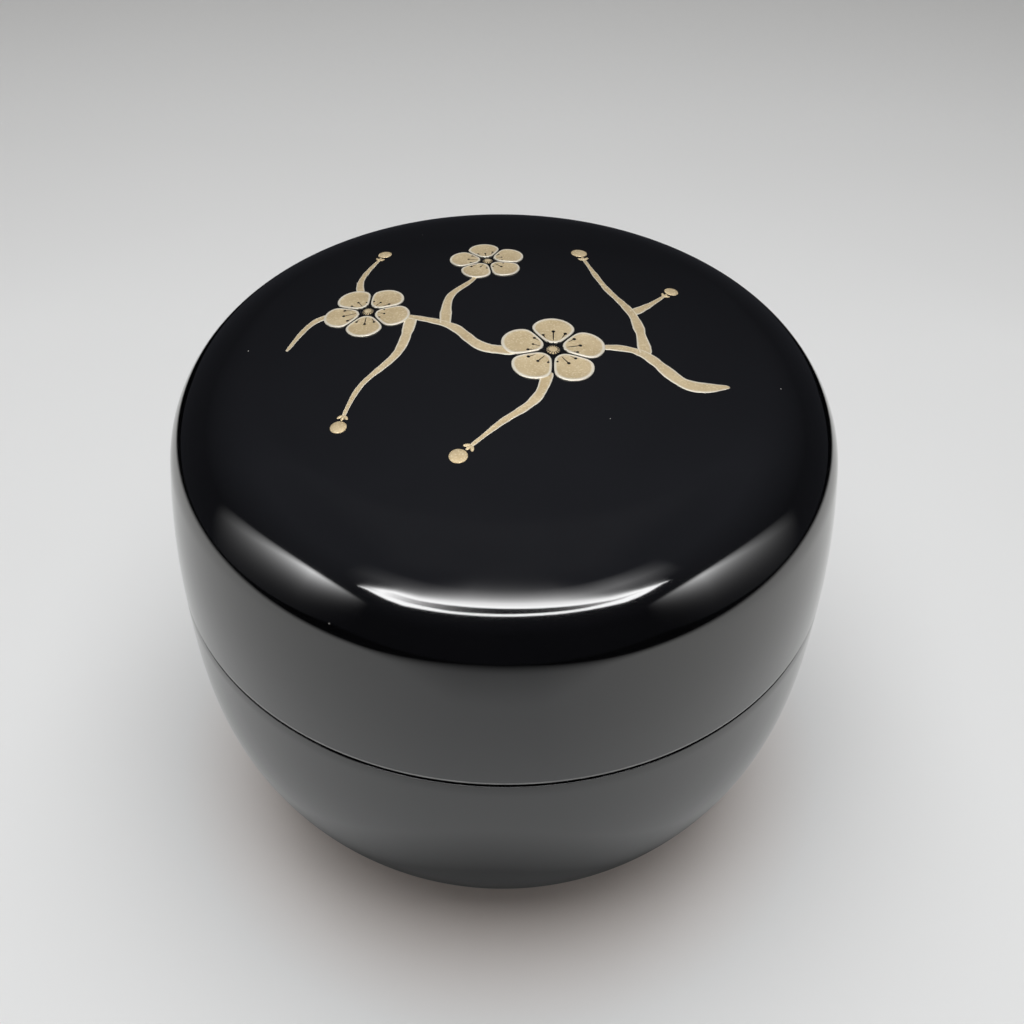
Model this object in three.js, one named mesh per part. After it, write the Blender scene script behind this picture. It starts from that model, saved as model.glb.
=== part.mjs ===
// Round lacquer tea caddy: a turned body with a standing inner lip and a bottom board, a lift-off lid, and a
// raised gold spray of blossom on the lid's crown. Millimetres, +Z up, origin at the middle of the foot.

import * as THREE from 'three';

// Overall sizes
const MAX_DIAMETER = 70;
const BODY_HEIGHT = 37.4;
const LID_HEIGHT = 25.6;

// Body
const FOOT_DIAMETER = 39;
const FOOT_RING_WIDTH = 4;
const FOOT_RECESS = 0.8;
const FOOT_EASE = 0.5;
const BODY_SWELL = 3.1;
const FLOOR_THICKNESS = 3.6;
const BOARD_CLEARANCE = 0.05;
const LOWER_WALL = 3;

// Lid
const LID_RIM_WIDTH = 2.4;
const LID_WALL = 2.6;
const LID_SIDE_ARC = 92;
const SHOULDER_ARC = 11.2;
const CROWN_ARC = 140;

// Fit of the lid on the body
const LIP_THICKNESS = 1.3;
const LIP_CLEARANCE = 0.25;
const LIP_HEADROOM = 3;
const SEAM_GAP = 0.2;
const EDGE_EASE = 0.3;

// Gold spray. Its plan is drawn on a disc of radius 1, which fills the crown less a margin.
const SPRAY_MARGIN = 2.4;
const GOLD_HEIGHT = 0.18;
const GOLD_SWELL = 0.06;
const GOLD_SEAT = 0.06;
const BLOSSOM_RADIUS = 0.23;
const BUD_RADIUS = 0.062;
const TWIG_WIDTH = 0.08;
const TWIG_TAPER = 0.35;
const SPRAY_GAP = 0.02;
const PETAL_COUNT = 5;
const PETAL_ROUND = 0.42;
const PAD_CENTRE = 0.1;
const PAD_SWELL_START = 0.55;

// Fineness of the facets
const TURN_STEPS = 60;
const BODY_STEPS = 11;
const BOWL_STEPS = 8;
const SIDE_STEPS = 4;
const SHOULDER_STEPS = 7;
const CROWN_STEPS = 6;
const INSIDE_STEPS = 5;
const TWIG_STEPS = 10;
const PETAL_STEPS = 6;
const BUD_STEPS = 12;
const CLEAR_TRIES = 400;

// Derived sizes of the two shells
const maxRadius = MAX_DIAMETER / 2;
const footRadius = FOOT_DIAMETER / 2;
const boardHole = footRadius - FOOT_RING_WIDTH;
const topHeight = BODY_HEIGHT + LID_HEIGHT;
const boreRadius = maxRadius - LID_RIM_WIDTH;
const lipOuter = boreRadius - LIP_CLEARANCE;
const lipInner = lipOuter - LIP_THICKNESS;
const floorTop = FOOT_RECESS + FLOOR_THICKNESS;
const bowlFloorRadius = footRadius - LOWER_WALL;
const rimHeight = BODY_HEIGHT + SEAM_GAP;

// Lid outline: side, shoulder and crown arcs that meet without a corner
const sideCentre = new THREE.Vector2(maxRadius - LID_SIDE_ARC, BODY_HEIGHT);
const crownCentre = new THREE.Vector2(0, topHeight - CROWN_ARC);
const shoulderCentre = arcMeeting(
  sideCentre, LID_SIDE_ARC - SHOULDER_ARC, crownCentre, CROWN_ARC - SHOULDER_ARC);
const shoulderStart = shoulderCentre.clone().sub(sideCentre).angle();
const shoulderEnd = shoulderCentre.clone().sub(crownCentre).angle();
const crownEdge = CROWN_ARC * Math.cos(shoulderEnd);

// Lid inside: straight bore, then a shoulder arc that runs into the underside of the crown
const innerShoulderArc = SHOULDER_ARC - LID_WALL;
const innerCrownArc = CROWN_ARC - LID_WALL;
const innerShoulderRadius = boreRadius - innerShoulderArc;
const innerShoulderCentre = new THREE.Vector2(
  innerShoulderRadius,
  crownCentre.y + Math.sqrt((innerCrownArc - innerShoulderArc) ** 2 - innerShoulderRadius ** 2));
const innerShoulderEnd = innerShoulderCentre.clone().sub(crownCentre).angle();

// The lip stops short of where the bore starts to curve
const lipTop = innerShoulderCentre.y - LIP_HEADROOM;

// Size of the gold spray on the crown
const sprayRadius = crownEdge - SPRAY_MARGIN;

const lacquer = { color: 0x0b0b0d, roughness: 0.1, metalness: 0 };
const gold = { color: 0xcdb98f, roughness: 0.45, metalness: 1 };

// Where two circles cross, taking the crossing further from the axis
function arcMeeting(centreA, radiusA, centreB, radiusB) {
  const between = centreB.clone().sub(centreA);
  const distance = between.length();
  const along = (radiusA ** 2 - radiusB ** 2 + distance ** 2) / (2 * distance);
  const aside = Math.sqrt(radiusA ** 2 - along ** 2);
  const unit = between.divideScalar(distance);
  const foot = centreA.clone().addScaledVector(unit, along);
  const normal = new THREE.Vector2(-unit.y, unit.x);
  const crossings = [aside, -aside].map((side) => foot.clone().addScaledVector(normal, side));
  return crossings[0].x > crossings[1].x ? crossings[0] : crossings[1];
}

// A point of a half section: distance from the axis, and height
function point(radius, height) {
  return new THREE.Vector2(radius, height);
}

// Points of an arc in the profile plane, both ends included
function arc(centre, radius, from, to, steps) {
  return Array.from({ length: steps + 1 }, (_, i) => {
    const angle = THREE.MathUtils.lerp(from, to, i / steps);
    return point(centre.x + radius * Math.cos(angle), centre.y + radius * Math.sin(angle));
  });
}

// A wall that swells from a foot to a rim by a power curve, as points from low to high
function swell(lowRadius, lowHeight, highRadius, highHeight, fromHeight, toHeight, steps) {
  return Array.from({ length: steps + 1 }, (_, i) => {
    const height = THREE.MathUtils.lerp(fromHeight, toHeight, i / steps);
    const share = (highHeight - height) / (highHeight - lowHeight);
    const radius = highRadius - (highRadius - lowRadius) * share ** BODY_SWELL;
    return point(radius, height);
  });
}

// A solid turned about Z from its half section
function turned(name, section, look) {
  const geometry = new THREE.LatheGeometry(section, TURN_STEPS).rotateX(Math.PI / 2);
  return piece(name, geometry, look);
}

function piece(name, geometry, look) {
  const mesh = new THREE.Mesh(geometry, new THREE.MeshStandardMaterial(look));
  mesh.name = name;
  return mesh;
}

function body() {
  const outside = swell(
    footRadius, 0, maxRadius, BODY_HEIGHT, FOOT_EASE, BODY_HEIGHT - EDGE_EASE, BODY_STEPS);
  const bowl = swell(
    bowlFloorRadius, floorTop, lipInner, BODY_HEIGHT, floorTop, BODY_HEIGHT, BOWL_STEPS);
  return turned('body', [
    point(boardHole, floorTop),
    point(boardHole, FOOT_EASE),
    point(boardHole + FOOT_EASE, 0),
    point(footRadius - FOOT_EASE, 0),
    ...outside,
    point(maxRadius - EDGE_EASE, BODY_HEIGHT),
    point(lipOuter, BODY_HEIGHT),
    point(lipOuter, lipTop - EDGE_EASE),
    point(lipOuter - EDGE_EASE, lipTop),
    point(lipInner + EDGE_EASE, lipTop),
    point(lipInner, lipTop - EDGE_EASE),
    ...bowl.reverse(),
    point(boardHole, floorTop),
  ], lacquer);
}

// The round board that closes the body's bottom, raised above the foot ring
function bottomBoard() {
  const boardRadius = boardHole - BOARD_CLEARANCE;
  return turned('bottom_board', [
    point(0, FOOT_RECESS),
    point(boardRadius, FOOT_RECESS),
    point(boardRadius, floorTop),
    point(0, floorTop),
  ], lacquer);
}

function lid() {
  const rimAngle = Math.asin((SEAM_GAP + EDGE_EASE) / LID_SIDE_ARC);
  const side = arc(sideCentre, LID_SIDE_ARC, rimAngle, shoulderStart, SIDE_STEPS);
  const shoulder = arc(shoulderCentre, SHOULDER_ARC, shoulderStart, shoulderEnd, SHOULDER_STEPS);
  const crown = arc(crownCentre, CROWN_ARC, shoulderEnd, Math.PI / 2, CROWN_STEPS);
  const innerShoulder = arc(innerShoulderCentre, innerShoulderArc, 0, innerShoulderEnd, INSIDE_STEPS);
  const innerCrown = arc(crownCentre, innerCrownArc, innerShoulderEnd, Math.PI / 2, INSIDE_STEPS);
  return turned('lid', [
    ...innerCrown.reverse(),
    ...innerShoulder.reverse().slice(1),
    point(boreRadius, rimHeight + EDGE_EASE),
    point(boreRadius + EDGE_EASE, rimHeight),
    point(maxRadius - EDGE_EASE, rimHeight),
    ...side,
    ...shoulder.slice(1),
    ...crown.slice(1),
  ], lacquer);
}

// A point over the crown: plan place in spray units, and height above the gold's seat
function onCrown(plan, above) {
  const x = plan.x * sprayRadius;
  const y = plan.y * sprayRadius;
  const height = crownCentre.y + Math.sqrt(CROWN_ARC ** 2 - x ** 2 - y ** 2);
  return [x, y, height + GOLD_SEAT + above];
}

// A closed solid skinned over rows of points, each row a closed loop, with a fan over each end
function skinned(rows) {
  const around = rows[0].length;
  const last = (rows.length - 1) * around;
  const index = [];
  for (let row = 0; row < last; row += around) {
    for (let i = 0; i < around; i++) {
      const a = row + i;
      const b = row + (i + 1) % around;
      index.push(a, b, b + around, a, b + around, a + around);
    }
  }
  for (let i = 1; i + 1 < around; i++) {
    index.push(0, i + 1, i);
    index.push(last, last + i, last + i + 1);
  }
  const geometry = new THREE.BufferGeometry();
  geometry.setAttribute('position', new THREE.Float32BufferAttribute(rows.flat(2), 3));
  geometry.setIndex(index);
  return geometry;
}

// The curve parameter, going from one end, where a stroke comes clear of what it grows from
function clearOf(curve, reach, first, last) {
  const end = curve.getPoint(first);
  for (let i = 0; i < CLEAR_TRIES; i++) {
    const t = THREE.MathUtils.lerp(first, last, i / CLEAR_TRIES);
    if (curve.getPoint(t).distanceTo(end) >= reach) {
      return t;
    }
  }
  return last;
}

// A brush stroke of gold along a plan curve, tapering from its root to its tip
function twig(name, { size, through, fromReach, toReach }) {
  const curve = new THREE.SplineCurve(through.map(([x, y]) => new THREE.Vector2(x, y)));
  const start = clearOf(curve, fromReach, 0, 1);
  const end = clearOf(curve, toReach, 1, 0);
  const rows = Array.from({ length: TWIG_STEPS + 1 }, (_, i) => {
    const share = i / TWIG_STEPS;
    const t = THREE.MathUtils.lerp(start, end, share);
    const tangent = curve.getTangent(t);
    const across = new THREE.Vector2(-tangent.y, tangent.x);
    const half = size * TWIG_WIDTH / 2 * THREE.MathUtils.lerp(1, TWIG_TAPER, share);
    const left = curve.getPoint(t).addScaledVector(across, half);
    const right = curve.getPoint(t).addScaledVector(across, -half);
    return [
      onCrown(left, 0),
      onCrown(left, GOLD_HEIGHT),
      onCrown(curve.getPoint(t), GOLD_HEIGHT + GOLD_SWELL),
      onCrown(right, GOLD_HEIGHT),
      onCrown(right, 0),
    ];
  });
  return piece(name, skinned(rows), gold);
}

// A low pad of gold with a given outline: the distance from its middle to its edge at each angle
function pad(name, [middleX, middleY], outline, steps) {
  const ring = (share, above) => Array.from({ length: steps }, (_, i) => {
    const angle = i / steps * 2 * Math.PI;
    const reach = share * outline(angle);
    return onCrown({
      x: middleX + reach * Math.cos(angle),
      y: middleY + reach * Math.sin(angle),
    }, above);
  });
  return piece(name, skinned([
    ring(PAD_CENTRE, 0),
    ring(PAD_SWELL_START, 0),
    ring(1, 0),
    ring(1, GOLD_HEIGHT),
    ring(PAD_SWELL_START, GOLD_HEIGHT + GOLD_SWELL),
    ring(PAD_CENTRE, GOLD_HEIGHT + GOLD_SWELL),
  ]), gold);
}

// Outline of round petals about a middle
function petals(radius, turn) {
  const petalRadius = radius * PETAL_ROUND;
  const petalPlace = radius - petalRadius;
  const sector = 2 * Math.PI / PETAL_COUNT;
  return (angle) => {
    const offPetal = THREE.MathUtils.euclideanModulo(angle - turn + sector / 2, sector) - sector / 2;
    const aside = petalPlace * Math.sin(offPetal);
    return petalPlace * Math.cos(offPetal) + Math.sqrt(petalRadius ** 2 - aside ** 2);
  };
}

// Places of the blossoms and buds in the spray
const frontBlossom = { at: [0.20, -0.14], size: 1, turn: 0.3 };
const leftBlossom = { at: [-0.62, 0.16], size: 0.86, turn: 0.9 };
const backBlossom = { at: [-0.10, 0.60], size: 0.78, turn: 0.5 };
const backBud = { at: [0.34, 0.70], size: 1 };
const rightBud = { at: [0.74, 0.40], size: 0.85 };
const frontBud = { at: [-0.16, -0.78], size: 1 };
const nearLeftBud = { at: [-0.66, -0.60], size: 0.9 };
const farLeftBud = { at: [-0.60, 0.68], size: 0.85 };
const blossoms = [frontBlossom, leftBlossom, backBlossom];
const buds = [backBud, rightBud, frontBud, nearLeftBud, farLeftBud];

// How far a stroke's end stays from the middle of what it grows from or ends at
const toBlossom = ({ size }) => size * BLOSSOM_RADIUS + SPRAY_GAP;
const toBud = ({ size }) => size * BUD_RADIUS + SPRAY_GAP;
const toFork = TWIG_WIDTH + SPRAY_GAP;
const freeEnd = 0;

const bough = {
  size: 1.1,
  through: [[0.95, -0.28], [0.76, -0.30], [0.58, -0.12], [0.40, -0.10], frontBlossom.at],
  fromReach: freeEnd,
  toReach: toBlossom(frontBlossom),
};
const longTwig = {
  size: 0.9,
  through: [frontBlossom.at, [-0.08, -0.14], [-0.24, 0.02], [-0.42, 0.10], leftBlossom.at],
  fromReach: toBlossom(frontBlossom),
  toReach: toBlossom(leftBlossom),
};
const backTwig = {
  size: 0.75,
  through: [[0.60, -0.13], [0.56, 0.16], [0.44, 0.40], backBud.at],
  fromReach: toFork,
  toReach: toBud(backBud),
};
const rightSpur = {
  size: 0.6,
  through: [[0.55, 0.18], [0.64, 0.27], rightBud.at],
  fromReach: toFork,
  toReach: toBud(rightBud),
};
const blossomTwig = {
  size: 0.7,
  through: [[-0.27, 0.03], [-0.26, 0.26], [-0.16, 0.42], backBlossom.at],
  fromReach: toFork,
  toReach: toBlossom(backBlossom),
};
const nearLeftTwig = {
  size: 0.7,
  through: [[-0.42, 0.10], [-0.46, -0.16], [-0.60, -0.38], nearLeftBud.at],
  fromReach: toFork,
  toReach: toBud(nearLeftBud),
};
const frontTwig = {
  size: 0.7,
  through: [frontBlossom.at, [0.14, -0.44], [-0.02, -0.62], frontBud.at],
  fromReach: toBlossom(frontBlossom),
  toReach: toBud(frontBud),
};
const leftTip = {
  size: 0.6,
  through: [leftBlossom.at, [-0.84, 0.12], [-0.95, -0.10]],
  fromReach: toBlossom(leftBlossom),
  toReach: freeEnd,
};
const farLeftTwig = {
  size: 0.6,
  through: [leftBlossom.at, [-0.68, 0.42], farLeftBud.at],
  fromReach: toBlossom(leftBlossom),
  toReach: toBud(farLeftBud),
};
const twigs = [
  bough, longTwig, backTwig, rightSpur, blossomTwig, nearLeftTwig, frontTwig, leftTip, farLeftTwig,
];

const spray = new THREE.Group();
blossoms.forEach(({ at, size, turn }, i) => {
  const outline = petals(size * BLOSSOM_RADIUS, turn);
  spray.add(pad(`gold_blossom_${i + 1}`, at, outline, PETAL_COUNT * PETAL_STEPS));
});
buds.forEach(({ at, size }, i) => {
  spray.add(pad(`gold_bud_${i + 1}`, at, () => size * BUD_RADIUS, BUD_STEPS));
});
twigs.forEach((stroke, i) => {
  spray.add(twig(`gold_twig_${i + 1}`, stroke));
});

const caddy = new THREE.Group();
caddy.add(body(), bottomBoard(), lid(), spray);

export default caddy;
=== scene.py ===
# Round black lacquer tea caddy: turned body, lift-off lid, and a raised gold spray of blossom on the crown.
import math

import bmesh
import bpy
from mathutils import Matrix, Vector


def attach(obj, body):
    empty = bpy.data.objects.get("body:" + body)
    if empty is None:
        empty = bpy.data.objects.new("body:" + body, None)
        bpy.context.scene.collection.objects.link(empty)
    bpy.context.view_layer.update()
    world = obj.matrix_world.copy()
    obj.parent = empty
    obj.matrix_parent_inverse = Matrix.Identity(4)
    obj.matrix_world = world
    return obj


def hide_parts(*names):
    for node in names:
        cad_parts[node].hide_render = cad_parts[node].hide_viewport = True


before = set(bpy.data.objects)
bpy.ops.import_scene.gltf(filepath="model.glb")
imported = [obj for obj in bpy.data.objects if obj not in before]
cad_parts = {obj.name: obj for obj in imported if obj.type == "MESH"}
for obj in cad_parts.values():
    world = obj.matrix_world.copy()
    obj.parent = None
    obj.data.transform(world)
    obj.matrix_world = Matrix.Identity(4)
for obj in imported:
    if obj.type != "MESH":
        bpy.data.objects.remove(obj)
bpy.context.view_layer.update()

MM = 0.001
TAU = 2 * math.pi

# Sizes of the two shells in millimetres, as in the part's source
MAX_RADIUS = 35.0
BODY_HEIGHT = 37.4
LID_HEIGHT = 25.6
FOOT_RADIUS = 19.5
FOOT_RING_WIDTH = 4.0
FOOT_RECESS = 0.8
FOOT_EASE = 0.5
BODY_SWELL = 3.1
FLOOR_THICKNESS = 3.6
LOWER_WALL = 3.0
LID_RIM_WIDTH = 2.4
LID_WALL = 2.6
LID_SIDE_ARC = 92.0
SHOULDER_ARC = 11.2
CROWN_ARC = 140.0
LIP_THICKNESS = 1.3
LIP_CLEARANCE = 0.25
LIP_HEADROOM = 3.0
EDGE_EASE = 0.3

# Seam in millimetres, as it shows: crisper and wider than the solids', over an eased mouth of the body
SEAM_GAP = 0.5
SEAM_EASE = 0.08
# Height of the pale painted highlight along the lid's lower rim
RIM_HIGHLIGHT_HEIGHT = 0.28
MOUTH_REACH = 1.3
MOUTH_DRAW = 0.1

# Small rounds of the body in millimetres
RECESS_ROUND = 0.4
RING_ROUND = 0.2
LIP_ROOT_ROUND = 0.15
BOWL_WALL_END = 1.5
BOWL_CORNER_ROUND = 2.25

# Fineness of the turned shells
TURNS = 256
CORNER_STEPS = 6
EDGE_HOLD = 0.12
RUN_STEP = 0.8
WALL_STEPS = 66
MOUTH_STEPS = 10
BOWL_STEPS = 40
SIDE_STEPS = 26
SHOULDER_STEPS = 44
CROWN_STEPS = 30
INNER_SHOULDER_STEPS = 20
INNER_CROWN_STEPS = 24
WELD_DISTANCE = 1e-6

# Gold spray, as in the part's source: its plan is a disc of radius 1 that fills the crown less a margin
SPRAY_MARGIN = 2.4
BLOSSOM_RADIUS = 0.23
BUD_RADIUS = 0.062
TWIG_WIDTH = 0.08
TWIG_TAPER = 0.3
PETAL_COUNT = 5
PETAL_ROUND = 0.42

# Finer forms of the spray: how much a twig's width varies, how much its middle sinks, and the stamens
TWIG_KNOTS = 0.9
TWIG_DIP = 0.35
STAMEN_COUNT = 15

# Relief of the gold in millimetres
GOLD_RELIEF = 0.12
TWIG_RELIEF = 0.066
GOLD_SINK = 0.02


# Derived sizes of the shells

TOP_HEIGHT = BODY_HEIGHT + LID_HEIGHT
BORE_RADIUS = MAX_RADIUS - LID_RIM_WIDTH
LIP_OUTER = BORE_RADIUS - LIP_CLEARANCE
LIP_INNER = LIP_OUTER - LIP_THICKNESS
FLOOR_TOP = FOOT_RECESS + FLOOR_THICKNESS
BOWL_FLOOR_RADIUS = FOOT_RADIUS - LOWER_WALL
RIM_HEIGHT = BODY_HEIGHT
LEDGE_HEIGHT = RIM_HEIGHT - SEAM_GAP
SEAM_ROUND = 0.98 * SEAM_EASE


def arc_meeting(centre_a, radius_a, centre_b, radius_b):
    """Where two circles cross, taking the crossing further from the axis."""
    between = centre_b - centre_a
    distance = between.length
    along = (radius_a**2 - radius_b**2 + distance**2) / (2 * distance)
    aside = math.sqrt(radius_a**2 - along**2)
    unit = between / distance
    foot = centre_a + unit * along
    normal = Vector((-unit.y, unit.x))
    return max((foot + normal * side for side in (aside, -aside)), key=lambda p: p.x)


def angle_from(centre, place):
    """Angle at which a place is seen from a centre, in the plane of the half section."""
    return math.atan2(place.y - centre.y, place.x - centre.x)


SIDE_CENTRE = Vector((MAX_RADIUS - LID_SIDE_ARC, BODY_HEIGHT))
CROWN_CENTRE = Vector((0, TOP_HEIGHT - CROWN_ARC))
SHOULDER_CENTRE = arc_meeting(
    SIDE_CENTRE, LID_SIDE_ARC - SHOULDER_ARC, CROWN_CENTRE, CROWN_ARC - SHOULDER_ARC
)
SHOULDER_START = angle_from(SIDE_CENTRE, SHOULDER_CENTRE)
SHOULDER_END = angle_from(CROWN_CENTRE, SHOULDER_CENTRE)
CROWN_EDGE = CROWN_ARC * math.cos(SHOULDER_END)
INNER_SHOULDER_ARC = SHOULDER_ARC - LID_WALL
INNER_CROWN_ARC = CROWN_ARC - LID_WALL
INNER_SHOULDER_RADIUS = BORE_RADIUS - INNER_SHOULDER_ARC
INNER_SHOULDER_CENTRE = Vector((
    INNER_SHOULDER_RADIUS,
    CROWN_CENTRE.y + math.sqrt((INNER_CROWN_ARC - INNER_SHOULDER_ARC) ** 2 - INNER_SHOULDER_RADIUS**2),
))
INNER_SHOULDER_END = angle_from(CROWN_CENTRE, INNER_SHOULDER_CENTRE)
LIP_TOP = INNER_SHOULDER_CENTRE.y - LIP_HEADROOM
SPRAY_RADIUS = CROWN_EDGE - SPRAY_MARGIN


# Nodes


def term(operation, reverse=False):
    """A method of Value that adds a Math node for an operation. Reversed, the value comes last."""

    def method(value, *others):
        terms = (*others, value) if reverse else (value, *others)
        return value.nodes.add("ShaderNodeMath", {"operation": operation}, dict(enumerate(terms)))

    return method


class Value:
    """An output socket of a node. An operator on values adds a Math node to the same tree."""

    def __init__(self, nodes, socket):
        self.nodes = nodes
        self.socket = socket

    __add__ = term("ADD")
    __radd__ = term("ADD", reverse=True)
    __sub__ = term("SUBTRACT")
    __rsub__ = term("SUBTRACT", reverse=True)
    __mul__ = term("MULTIPLY")
    __rmul__ = term("MULTIPLY", reverse=True)
    __truediv__ = term("DIVIDE")
    __mod__ = term("MODULO")
    __pow__ = term("POWER")
    __lt__ = term("LESS_THAN")
    __gt__ = term("GREATER_THAN")
    at_least = term("MAXIMUM")
    at_most = term("MINIMUM")
    root = term("SQRT")
    size = term("ABSOLUTE")
    cosine = term("COSINE")
    sine = term("SINE")
    exponential = term("EXPONENT")
    radians_from = term("ARCTAN2")

    def output(self, name):
        """Another output of the same node."""
        return Value(self.nodes, self.socket.node.outputs[name])

    def within(self, low, high):
        """0 below low, 1 above high, and an even climb between them."""
        return ((self - low) / (high - low)).at_least(0).at_most(1)

    def bearing(self, ahead):
        """Angle in degrees, from straight ahead, of a place this far to the side."""
        return self.radians_from(ahead) * (180 / math.pi)


class Nodes:
    """Adds nodes to one tree."""

    def __init__(self, tree):
        self.tree = tree

    def add(self, kind, settings=None, sockets=None, output=0):
        """A node of a kind, with its settings first, then the values or links of its sockets."""
        node = self.tree.nodes.new(kind)
        for name, setting in (settings or {}).items():
            setattr(node, name, setting)
        for key, value in (sockets or {}).items():
            socket = node.inputs[key]
            if isinstance(key, str):
                socket = next(s for s in node.inputs if s.name == key and s.enabled)
            if isinstance(value, Value):
                self.tree.links.new(value.socket, socket)
            elif isinstance(value, list):
                for one in value:
                    self.tree.links.new(one.socket, socket)
            else:
                socket.default_value = value
        outputs = [s for s in node.outputs if s.enabled]
        if isinstance(output, str):
            return Value(self, next(s for s in outputs if s.name == output))
        return Value(self, outputs[output]) if outputs else None

    def given(self, name):
        """One of the tree's own inputs."""
        return self.add("NodeGroupInput", output=name)

    def point(self, x, y, z):
        return self.add("ShaderNodeCombineXYZ", None, {"X": x, "Y": y, "Z": z})

    def parts(self, vector):
        """The three numbers of a vector."""
        split = self.add("ShaderNodeSeparateXYZ", None, {"Vector": vector})
        return split.output("X"), split.output("Y"), split.output("Z")

    def blend(self, share, first, second):
        """A colour between two colours."""
        return self.add(
            "ShaderNodeMix", {"data_type": "RGBA"}, {"Factor": share, "A": first, "B": second}, "Result"
        )

    def noise(self, place, size, detail=2.0, roughness=0.5):
        """Soft noise from 0 to 1, with grains of a size in millimetres."""
        sockets = {"Vector": place, "Scale": 1 / (size * MM), "Detail": detail, "Roughness": roughness}
        return self.add("ShaderNodeTexNoise", None, sockets, "Fac")

    def cells(self, place, size, output):
        """Cells of a size in millimetres, each about a point of its own."""
        sockets = {"Vector": place, "Scale": 1 / (size * MM)}
        return self.add("ShaderNodeTexVoronoi", None, sockets, output)

    def ball(self, radius, segments, rings):
        """A ball of mesh for a Geometry Nodes tree."""
        sockets = {"Segments": segments, "Rings": rings, "Radius": radius}
        return self.add("GeometryNodeMeshUVSphere", None, sockets, "Mesh")

    def bump(self, height, depth, normal=None):
        """A normal from a height of 0 to 1, which stands for a depth in millimetres."""
        sockets = {"Strength": 1.0, "Distance": depth * MM, "Height": height}
        if normal:
            sockets["Normal"] = normal
        return self.add("ShaderNodeBump", None, sockets)

    def object_place(self):
        """Where a point of a material is, in the object's own frame."""
        return self.add("ShaderNodeTexCoord", output="Object")

    def position(self):
        """Where each point of a geometry is."""
        return self.add("GeometryNodeInputPosition")

    def stored(self, name, kind="FLOAT"):
        """What each point of a geometry keeps under a name."""
        return self.add("GeometryNodeInputNamedAttribute", {"data_type": kind}, {"Name": name})

    def store(self, geometry, name, value):
        """Has each point of a geometry keep a number under a name."""
        settings = {"data_type": "FLOAT", "domain": "POINT"}
        sockets = {"Geometry": geometry, "Name": name, "Value": value}
        return self.add("GeometryNodeStoreNamedAttribute", settings, sockets)

    def placed(self, geometry, x, y, z):
        """A geometry with each of its points at a new place."""
        sockets = {"Geometry": geometry, "Position": self.point(x, y, z)}
        return self.add("GeometryNodeSetPosition", None, sockets)

    def moved(self, geometry, **sockets):
        """A geometry moved, turned or scaled as a whole."""
        return self.add("GeometryNodeTransform", None, {"Geometry": geometry, **sockets})

    def joined(self, *forms):
        """Several forms as one geometry."""
        return self.add("GeometryNodeJoinGeometry", None, {"Geometry": list(forms)})

    def about_z(self, angle):
        """A turn about Z as a rotation."""
        return self.add("FunctionNodeEulerToRotation", None, {"Euler": self.point(0, 0, angle)})

    def copies(self, points, form, angle, scale):
        """A copy of a form on each point, turned about Z."""
        sockets = {"Points": points, "Instance": form, "Rotation": self.about_z(angle), "Scale": scale}
        return self.add("GeometryNodeInstanceOnPoints", None, sockets)

    def finished(self, geometry, finish, selection=True):
        """A geometry, or a selection of it, in one of the tree's own materials."""
        sockets = {"Geometry": geometry, "Selection": selection, "Material": self.given(finish)}
        return self.add("GeometryNodeSetMaterial", None, sockets)

    def end(self, geometry):
        """Ends a Geometry Nodes tree: points that meet are welded, and the shading is smooth."""
        sockets = {"Geometry": geometry, "Distance": WELD_DISTANCE}
        welded = self.add("GeometryNodeMergeByDistance", None, sockets)
        smooth = self.add("GeometryNodeSetShadeSmooth", None, {"Geometry": welded, "Shade Smooth": True})
        self.add("NodeGroupOutput", None, {"Geometry": smooth})


def geometry_nodes(name, inputs):
    """A new Geometry Nodes tree with a geometry input and the named inputs, and a geometry output."""
    tree = bpy.data.node_groups.new(name, "GeometryNodeTree")
    tree.interface.new_socket(name="Geometry", in_out="OUTPUT", socket_type="NodeSocketGeometry")
    tree.interface.new_socket(name="Geometry", in_out="INPUT", socket_type="NodeSocketGeometry")
    for label, kind in inputs.items():
        tree.interface.new_socket(name=label, in_out="INPUT", socket_type="NodeSocket" + kind)
    return Nodes(tree)


def material_nodes(name):
    """A new material and its empty node tree."""
    material = bpy.data.materials.new(name)
    material.use_nodes = True
    material.node_tree.nodes.clear()
    return material, Nodes(material.node_tree)


def surfaced(material, nodes, sockets):
    """Ends a material's tree with one Principled surface."""
    shader = nodes.add("ShaderNodeBsdfPrincipled", None, sockets)
    nodes.add("ShaderNodeOutputMaterial", None, {"Surface": shader})
    return material


def shown(piece):
    """Puts an object into the scene."""
    bpy.context.scene.collection.objects.link(piece)
    return piece


def grown(name, base, nodes, inputs):
    """A plain mesh piece made by running a Geometry Nodes tree on a base mesh."""
    source = shown(bpy.data.objects.new(name + "_base", base))
    modifier = source.modifiers.new("shape", "NODES")
    modifier.node_group = nodes.tree
    for item in nodes.tree.interface.items_tree:
        if item.in_out == "INPUT" and item.name in inputs:
            modifier[item.identifier] = inputs[item.name]
    depsgraph = bpy.context.evaluated_depsgraph_get()
    mesh = bpy.data.meshes.new_from_object(source.evaluated_get(depsgraph))
    bpy.data.objects.remove(source)
    shape = bmesh.new()
    shape.from_mesh(mesh)
    bmesh.ops.recalc_face_normals(shape, faces=shape.faces)
    shape.to_mesh(mesh)
    shape.free()
    mesh.name = name
    return shown(bpy.data.objects.new(name, mesh))


# Half sections of the shells: runs of points, each of a radius and a height in millimetres, where a run
# comes with whether it is of the inside


def arc(centre, radius, start, end, steps):
    """Points of an arc, both ends included."""
    angles = [start + (end - start) * i / steps for i in range(steps + 1)]
    return [centre + Vector((math.cos(a), math.sin(a))) * radius for a in angles]


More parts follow.
